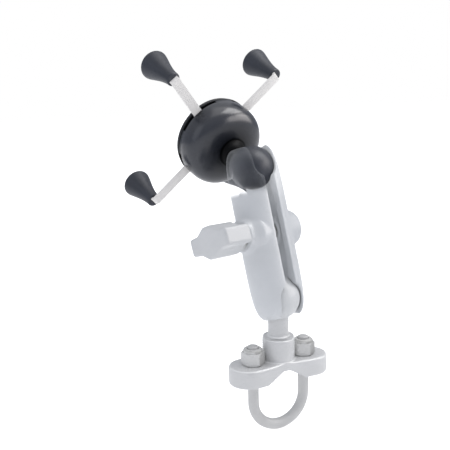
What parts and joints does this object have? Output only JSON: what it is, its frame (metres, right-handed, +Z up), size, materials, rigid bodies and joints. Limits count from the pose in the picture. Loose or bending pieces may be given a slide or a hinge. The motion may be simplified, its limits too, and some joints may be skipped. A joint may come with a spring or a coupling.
{
  "type": "phone handlebar mount",
  "caption": "Phone mount for a handlebar: U-bolt saddle with a ball post, a double-socket clamp arm with a winged knob, and an X-shaped spring-loaded cradle with flared rubber tips.",
  "frame": {"origin": "middle of the flat root of the saddle's V groove, where the handlebar sits", "axes": "+Z up the ball post away from the bar, +X through the two U-bolt legs, +Y along the handlebar"},
  "size_m": [0.0921, 0.1164, 0.2215],
  "materials": {
    "coated_casting": "powder-coated, fine satin",
    "zinc_steel": "zinc-plated, dull",
    "stainless": "bright brushed",
    "dark_shell": "smooth, glossy",
    "dark_rubber": "smooth, soft sheen",
    "pale_rubber": "smooth, matte",
    "pale_grip": "moulded, satin",
    "nylon": "moulded"
  },
  "bodies": {
    "base": {"base_plate": "coated_casting", "base_post": "coated_casting"},
    "left_nut": {"nut_left": "zinc_steel", "nut_ring_left": "nylon"},
    "right_nut": {"nut_right": "zinc_steel", "nut_ring_right": "nylon"},
    "u_bolt": {"u_bolt": "zinc_steel"},
    "lower_ball_cover": {"base_ball": "pale_rubber"},
    "arm_far": {"arm_shell_far": "coated_casting", "clamp_bolt": "zinc_steel", "arm_spring": "stainless"},
    "arm_near": {"arm_shell_near": "coated_casting", "knob_washer": "zinc_steel"},
    "knob": {"knob_body": "pale_grip", "knob_insert": "zinc_steel"},
    "upper_ball_cover": {"cradle_ball": "dark_rubber"},
    "cradle": {"cradle_post": "dark_shell", "hub_dome": "dark_shell", "hub_base": "dark_shell", "hub_pad": "dark_rubber", "hub_screw_1": "zinc_steel", "hub_screw_2": "zinc_steel", "hub_screw_3": "zinc_steel", "hub_screw_4": "zinc_steel", "pivot_screw": "zinc_steel", "pivot_washer": "zinc_steel", "leg_spring": "stainless"},
    "falling_leg": {"leg_falling": "stainless", "cap_upper_left": "dark_rubber", "cap_lower_right": "dark_rubber"},
    "rising_leg": {"leg_rising": "stainless", "cap_upper_right": "dark_rubber", "cap_lower_left": "dark_rubber"}
  },
  "joints": [
    {"name": "left_nut_turn", "type": "hinge", "parent": "base", "child": "left_nut", "pos_m": [-0.01705, 0, 0.0075], "axis": [0, 0, -1], "range_deg": [-540, 2160]},
    {"name": "right_nut_turn", "type": "hinge", "parent": "base", "child": "right_nut", "pos_m": [0.01705, 0, 0.0075], "axis": [0, 0, -1], "range_deg": [-540, 2160]},
    {"name": "u_bolt_rise", "type": "slide", "parent": "base", "child": "u_bolt", "axis": [0, 0, 1], "range_m": [-0.0019, 0.0076]},
    {"name": "arm_swivel", "type": "hinge", "parent": "base", "child": "lower_ball_cover", "pos_m": [0, 0, 0.0416], "axis": [0, 0, 1], "continuous": true},
    {"name": "arm_lean", "type": "hinge", "parent": "lower_ball_cover", "child": "arm_far", "pos_m": [0, 0, 0.0416], "axis": [0.982, 0.1891, 0], "range_deg": [-58.3, 91.7]},
    {"name": "near_shell_open", "type": "slide", "parent": "arm_far", "child": "arm_near", "axis": [-0.982, -0.1891, 0], "range_m": [0, 0.0032]},
    {"name": "knob_turn", "type": "hinge", "parent": "arm_near", "child": "knob", "pos_m": [-0.03152, 0.00505, 0.078], "axis": [-0.982, -0.1891, 0], "range_deg": [0, 900]},
    {"name": "cradle_tilt", "type": "hinge", "parent": "arm_far", "child": "upper_ball_cover", "pos_m": [-0.00413, 0.02145, 0.11439], "axis": [0.982, 0.1891, 0], "range_deg": [-23.4, 126.6]},
    {"name": "cradle_spin", "type": "hinge", "parent": "upper_ball_cover", "child": "cradle", "pos_m": [-0.00413, 0.02145, 0.11439], "axis": [0.1245, -0.9211, -0.3689], "continuous": true},
    {"name": "falling_leg_swing", "type": "hinge", "parent": "cradle", "child": "falling_leg", "pos_m": [-0.00897, 0.05728, 0.12875], "axis": [0.1245, -0.9211, -0.3689], "range_deg": [-12, 14.7]},
    {"name": "rising_leg_swing", "type": "hinge", "parent": "cradle", "child": "rising_leg", "pos_m": [-0.00897, 0.05728, 0.12875], "axis": [0.1245, -0.9211, -0.3689], "range_deg": [-14.7, 12]}
  ],
  "couplings": [
    {"joint": "left_nut_turn", "follows": "u_bolt_rise", "rad_per_m": 4947.4},
    {"joint": "right_nut_turn", "follows": "u_bolt_rise", "rad_per_m": 4947.4},
    {"joint": "near_shell_open", "follows": "knob_turn", "m_per_rad": 0.00020213},
    {"joint": "rising_leg_swing", "follows": "falling_leg_swing", "ratio": -1}
  ]
}
